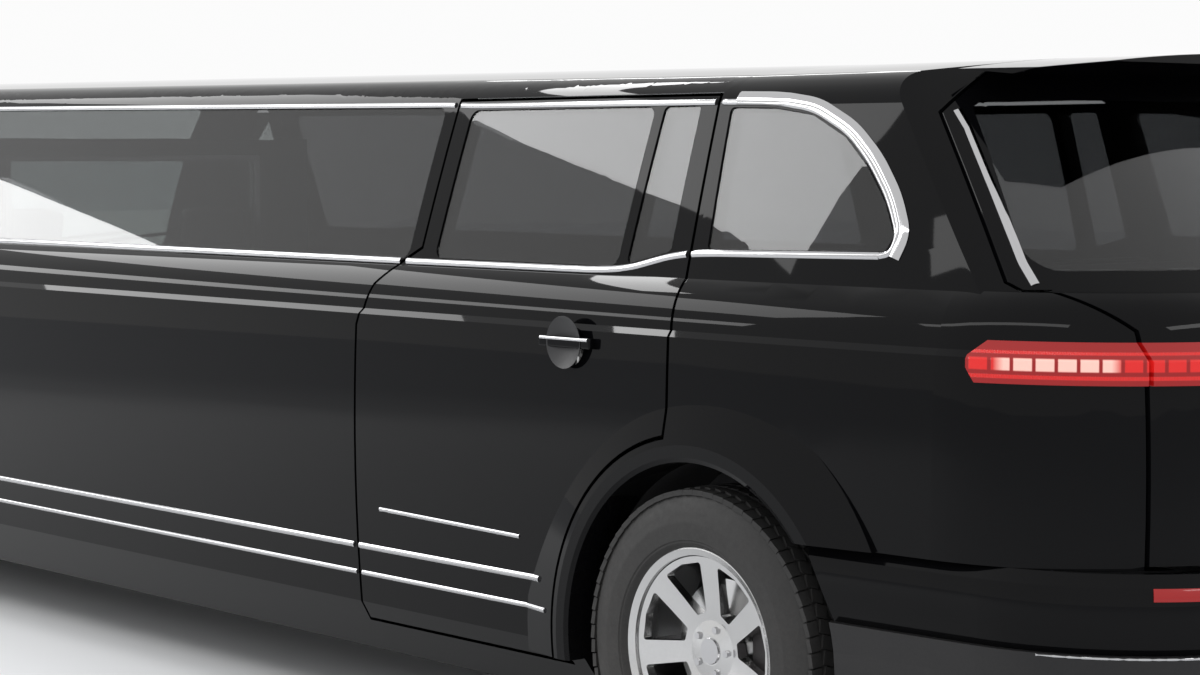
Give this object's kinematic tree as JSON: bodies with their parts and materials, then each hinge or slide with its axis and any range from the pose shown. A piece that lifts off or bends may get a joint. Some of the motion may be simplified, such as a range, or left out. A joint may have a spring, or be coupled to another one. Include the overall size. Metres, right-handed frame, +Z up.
{
  "type": "stretch limousine",
  "caption": "Long black stretch limousine on a crossover wagon, with opening doors, bonnet and tailgate and steered front wheels.",
  "frame": {"origin": "on the ground under the middle of the car's box", "axes": "+X forward, +Y to the car's left, +Z up"},
  "size_m": [8.3255, 2.24, 1.7686],
  "materials": {
    "black_paint": "gloss",
    "dark_glass": "gloss",
    "clear_glass": "gloss",
    "bright_trim": "gloss",
    "lamp_clear": "gloss",
    "lamp_red": "gloss",
    "black_plastic": "satin",
    "underbody": "matt",
    "steel": "satin",
    "cast_iron": "matt",
    "aluminium": "satin",
    "tyre": "matt",
    "leather": "satin",
    "wood": "gloss"
  },
  "bodies": {
    "body": {"body_side_left": "black_paint", "body_side_right": "black_paint", "front_wing_left": "black_paint", "front_wing_right": "black_paint", "roof_panel": "black_paint", "cowl": "black_plastic", "windscreen": "clear_glass", "side_glasses": "dark_glass", "quarter_glasses": "dark_glass", "nose_panel": "black_paint", "grille": "bright_trim", "headlamps": "lamp_clear", "front_bumper": "black_paint", "rear_bumper": "black_paint", "rear_cladding": "black_plastic", "tail_lamps": "lamp_red", "floor_pan": "underbody", "wheel_houses": "black_plastic", "rear_axle": "cast_iron", "front_suspension": "steel", "engine_block": "cast_iron", "exhaust": "steel", "fuel_tank": "black_plastic", "dashboard": "black_plastic", "steering_wheel": "black_plastic", "front_seats": "leather", "partition": "wood", "rear_seat": "leather", "side_seat": "leather", "bar_cabinet": "wood"},
    "bonnet": {"bonnet": "black_paint"},
    "tailgate": {"tailgate": "black_paint", "tailgate_glass": "dark_glass", "tailgate_lamp": "lamp_red"},
    "front_door_left": {"front_door_left": "black_paint", "front_door_glass_left": "clear_glass"},
    "rear_door_left": {"rear_door_left": "black_paint", "rear_door_glass_left": "dark_glass"},
    "knuckle_left": {"knuckle_left": "cast_iron"},
    "wheel_front_left": {"tyre_front_left": "tyre", "rim_front_left": "aluminium"},
    "wheel_rear_left": {"tyre_rear_left": "tyre", "rim_rear_left": "aluminium"},
    "front_door_right": {"front_door_right": "black_paint", "front_door_glass_right": "clear_glass"},
    "rear_door_right": {"rear_door_right": "black_paint", "rear_door_glass_right": "dark_glass"},
    "knuckle_right": {"knuckle_right": "cast_iron"},
    "wheel_front_right": {"tyre_front_right": "tyre", "rim_front_right": "aluminium"},
    "wheel_rear_right": {"tyre_rear_right": "tyre", "rim_rear_right": "aluminium"}
  },
  "joints": [
    {"name": "bonnet_hinge", "type": "hinge", "parent": "body", "child": "bonnet", "pos_m": [2.545, 0, 1.134], "axis": [0, -1, 0], "range_deg": [0, 50]},
    {"name": "tailgate_hinge", "type": "hinge", "parent": "body", "child": "tailgate", "pos_m": [-3.315, 0, 1.704], "axis": [0, 1, 0], "range_deg": [0, 80]},
    {"name": "front_door_left_hinge", "type": "hinge", "parent": "body", "child": "front_door_left", "pos_m": [2.32, 0.927, 0.74], "axis": [0, 0, -1], "range_deg": [0, 65]},
    {"name": "rear_door_left_hinge", "type": "hinge", "parent": "body", "child": "rear_door_left", "pos_m": [-1.61, 0.927, 0.74], "axis": [0, 0, -1], "range_deg": [0, 65]},
    {"name": "steering_left", "type": "hinge", "parent": "body", "child": "knuckle_left", "pos_m": [3.186, 0.77, 0.376], "axis": [0, 0, 1], "range_deg": [-32, 32]},
    {"name": "wheel_front_left_spin", "type": "hinge", "parent": "knuckle_left", "child": "wheel_front_left", "pos_m": [3.186, 0.8325, 0.376], "axis": [0, 1, 0], "continuous": true},
    {"name": "wheel_rear_left_spin", "type": "hinge", "parent": "body", "child": "wheel_rear_left", "pos_m": [-2.857, 0.8325, 0.376], "axis": [0, 1, 0], "continuous": true},
    {"name": "front_door_right_hinge", "type": "hinge", "parent": "body", "child": "front_door_right", "pos_m": [2.32, -0.927, 0.74], "axis": [0, 0, 1], "range_deg": [0, 65]},
    {"name": "rear_door_right_hinge", "type": "hinge", "parent": "body", "child": "rear_door_right", "pos_m": [-1.61, -0.927, 0.74], "axis": [0, 0, 1], "range_deg": [0, 65]},
    {"name": "steering_right", "type": "hinge", "parent": "body", "child": "knuckle_right", "pos_m": [3.186, -0.77, 0.376], "axis": [0, 0, 1], "range_deg": [-32, 32]},
    {"name": "wheel_front_right_spin", "type": "hinge", "parent": "knuckle_right", "child": "wheel_front_right", "pos_m": [3.186, -0.8325, 0.376], "axis": [0, 1, 0], "continuous": true},
    {"name": "wheel_rear_right_spin", "type": "hinge", "parent": "body", "child": "wheel_rear_right", "pos_m": [-2.857, -0.8325, 0.376], "axis": [0, 1, 0], "continuous": true}
  ],
  "couplings": [
    {"joint": "steering_right", "follows": "steering_left", "ratio": 1}
  ]
}
